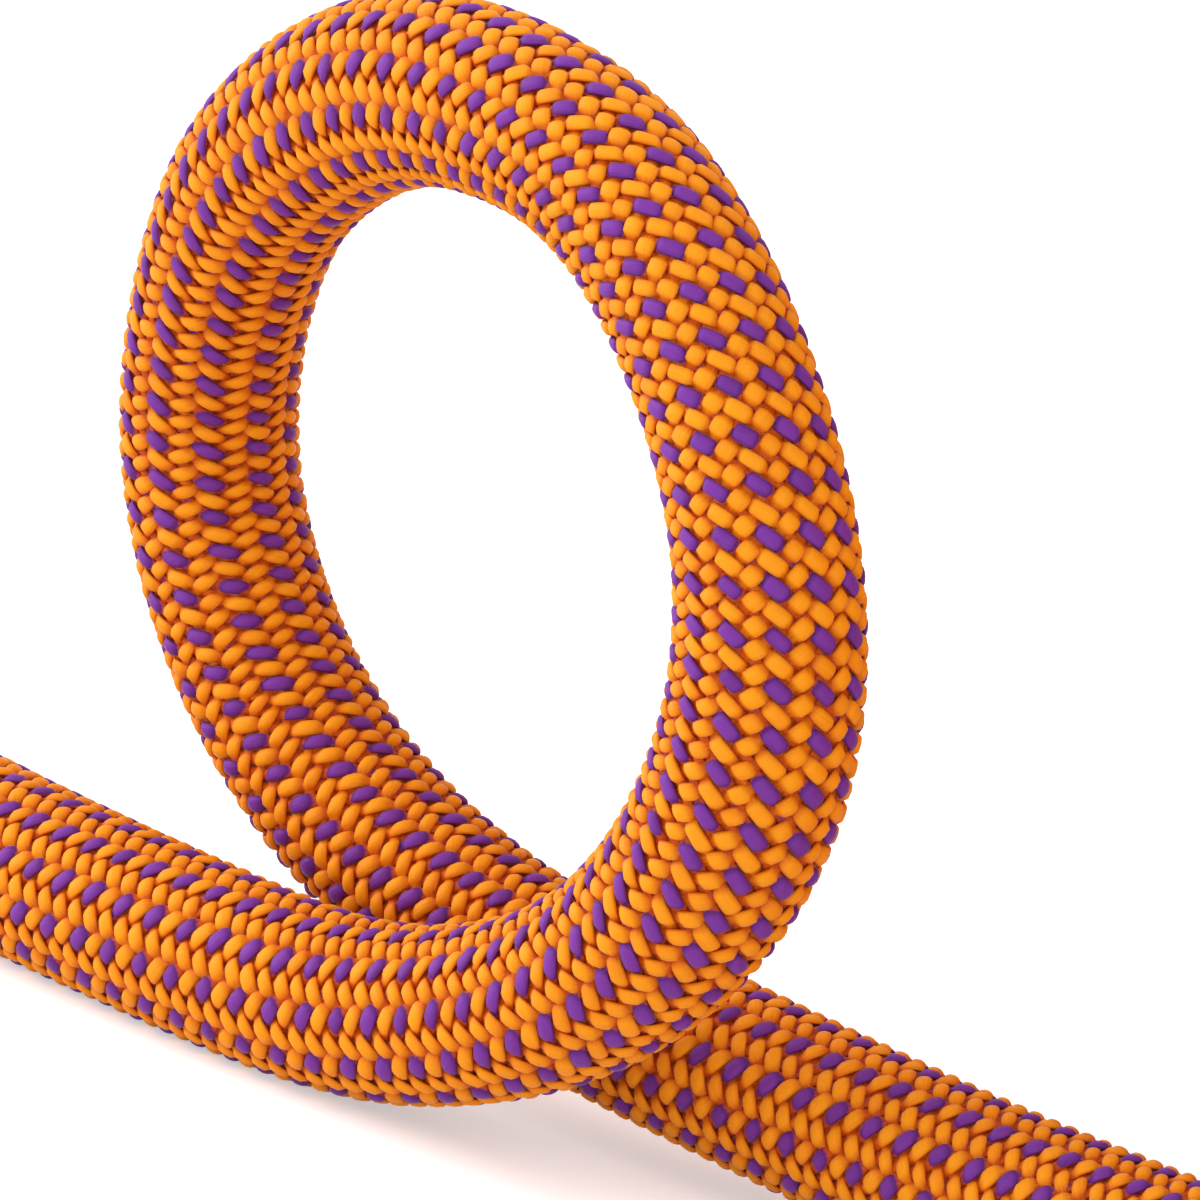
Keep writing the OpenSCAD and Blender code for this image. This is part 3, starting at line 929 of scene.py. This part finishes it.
class OBJECT_OT_ties(bpy.types.Operator):
    """Tie the coil with lapped and sewn webbing"""

    bl_idname = "object.coil_ties"
    bl_label = "Ties"

    def execute(self, context):
        colours = settings("rope_colours")
        weave = webbing_weave("woven_webbing", colours.webbing)
        thread = sewing_thread("sewing_thread", colours.thread)
        rope = Rope()
        for number in range(1, TIES + 1):
            strap = Strap(rope.coil, rope.coil.tie_angle(number))
            band = tubes(f"tie_webbing_{number}", [strap.grid() + rope.shift],
                         WEBBING_ACROSS, [strap.along / MM])
            finished(band, weave, "webbing", f"coil_tie_{number}")
            seam = [grid + rope.shift for grid in strap.stitches()]
            around = np.arange(STITCH_SIDES + 1) / STITCH_SIDES
            lengths = [np.arange(len(STITCH_RINGS)) * THREAD_STEP + THREAD_SHIFT * k
                       for k in range(len(seam))]
            finished(tubes(f"tie_seam_{number}", seam, around, lengths), thread, "webbing")
        return {"FINISHED"}


# ---- Operators: camera, floor and light ---------------------------------------------------------

# How far the camera looks down from the level and how far it is tilted, and what it looks at. Both
# angles are from the route's fit
CAMERA_RISE = np.radians(13.098)
CAMERA_ROLL = np.radians(10.915)
LOOK_AT = Vector((0.0, 0.0, 0.029466))
SENSOR = 36.0


class SCENE_OT_camera(bpy.types.Operator):
    """Set the camera"""

    bl_idname = "scene.rope_camera"
    bl_label = "Camera"

    def execute(self, context):
        stage = settings("stage_settings")
        data = bpy.data.cameras.new("camera")
        data.sensor_width = SENSOR
        data.lens = SENSOR * stage.distance / stage.view_width
        data.clip_start = 0.1
        data.clip_end = 200.0
        camera = bpy.data.objects.new("camera", data)
        context.scene.collection.objects.link(camera)
        level = Matrix.Rotation(np.pi / 2 - CAMERA_RISE, 4, "X")
        target = LOOK_AT + Vector(Rope().shift)
        back = level.col[2].xyz * stage.distance
        camera.matrix_world = (Matrix.Translation(target + back) @ level
                               @ Matrix.Rotation(CAMERA_ROLL, 4, "Z"))
        context.scene.camera = camera
        return {"FINISHED"}


class SCENE_OT_stage(bpy.types.Operator):
    """Lay the floor and set the lights"""

    bl_idname = "scene.rope_stage"
    bl_label = "Stage"

    def execute(self, context):
        stage = settings("stage_settings")
        shape = bmesh.new()
        bmesh.ops.create_grid(shape, x_segments=1, y_segments=1, size=stage.floor / 2)
        mesh = bpy.data.meshes.new("floor")
        shape.to_mesh(mesh)
        shape.free()
        floor = add_object("floor", mesh)
        m = Maker("white_floor")
        seen = m.node("ShaderNodeLightPath")
        for output in (3, 6):
            seen = seen.call("MAXIMUM", m.node("ShaderNodeLightPath", output=output))
        glow = m.mix(seen, paint((0, 0, 0)), paint((stage.floor_glow,) * 3))
        mesh.materials.append(m.surface(Base_Color=paint((0.9,) * 3), Roughness=0.9,
                                        Specular_IOR_Level=0.0, Emission_Color=glow,
                                        Emission_Strength=1.0))
        self.sky(context, stage.sky)
        self.lamp(context, "front_light", stage.front, (80, 0, 15))
        self.lamp(context, "left_light", stage.sides, (70, 0, -100))
        self.lamp(context, "right_light", stage.sides, (70, 0, 115))
        context.scene.view_settings.view_transform = "Standard"
        return {"FINISHED"}

    def sky(self, context, strength):
        """An even white sky that lights at one strength and is seen as plain white."""
        world = bpy.data.worlds.new("white_sky")
        context.scene.world = world
        world.use_nodes = True
        nodes, links = world.node_tree.nodes, world.node_tree.links
        nodes.clear()
        path = nodes.new("ShaderNodeLightPath")
        seen = nodes.new("ShaderNodeMath")
        seen.operation = "MAXIMUM"
        seen_again = nodes.new("ShaderNodeMath")
        seen_again.operation = "MAXIMUM"
        blend = nodes.new("ShaderNodeMix")
        blend.inputs[2].default_value = strength
        blend.inputs[3].default_value = 1.0
        background = nodes.new("ShaderNodeBackground")
        output = nodes.new("ShaderNodeOutputWorld")
        links.new(path.outputs["Is Camera Ray"], seen.inputs[0])
        links.new(path.outputs["Is Glossy Ray"], seen.inputs[1])
        links.new(seen.outputs[0], seen_again.inputs[0])
        links.new(path.outputs["Is Transmission Ray"], seen_again.inputs[1])
        links.new(seen_again.outputs[0], blend.inputs[0])
        links.new(blend.outputs[0], background.inputs["Strength"])
        links.new(background.outputs[0], output.inputs["Surface"])

    def lamp(self, context, name, strength, turn):
        light = bpy.data.lights.new(name, "SUN")
        light.energy = strength
        light.angle = np.radians(60)
        lamp = bpy.data.objects.new(name, light)
        lamp.rotation_euler = np.radians(turn)
        context.scene.collection.objects.link(lamp)


class VIEW3D_PT_rope(bpy.types.Panel):
    """Sizes, colours and steps of the rope"""

    bl_label = "Climbing rope"
    bl_idname = "VIEW3D_PT_rope"
    bl_space_type = "VIEW_3D"
    bl_region_type = "UI"
    bl_category = "Rope"

    def draw(self, context):
        for name, group in GROUPS.items():
            box = self.layout.box()
            box.label(text=group.__doc__)
            for key in group.__annotations__:
                box.prop(settings(name), key)
        for operator in STEPS:
            self.layout.operator(operator.bl_idname)


STEPS = [SCENE_OT_camera, OBJECT_OT_rope, OBJECT_OT_braid, OBJECT_OT_core, OBJECT_OT_ends,
         OBJECT_OT_ties, SCENE_OT_stage]


def register():
    for kind in (*GROUPS.values(), *STEPS, VIEW3D_PT_rope):
        bpy.utils.register_class(kind)
    for name, group in GROUPS.items():
        setattr(bpy.types.Scene, name, bpy.props.PointerProperty(type=group))


def unregister():
    for name in GROUPS:
        delattr(bpy.types.Scene, name)
    for kind in reversed((*GROUPS.values(), *STEPS, VIEW3D_PT_rope)):
        bpy.utils.unregister_class(kind)


def main():
    register()
    for step in STEPS:
        space, name = step.bl_idname.split(".")
        getattr(getattr(bpy.ops, space), name)()


if __name__ == "__main__":
    main()
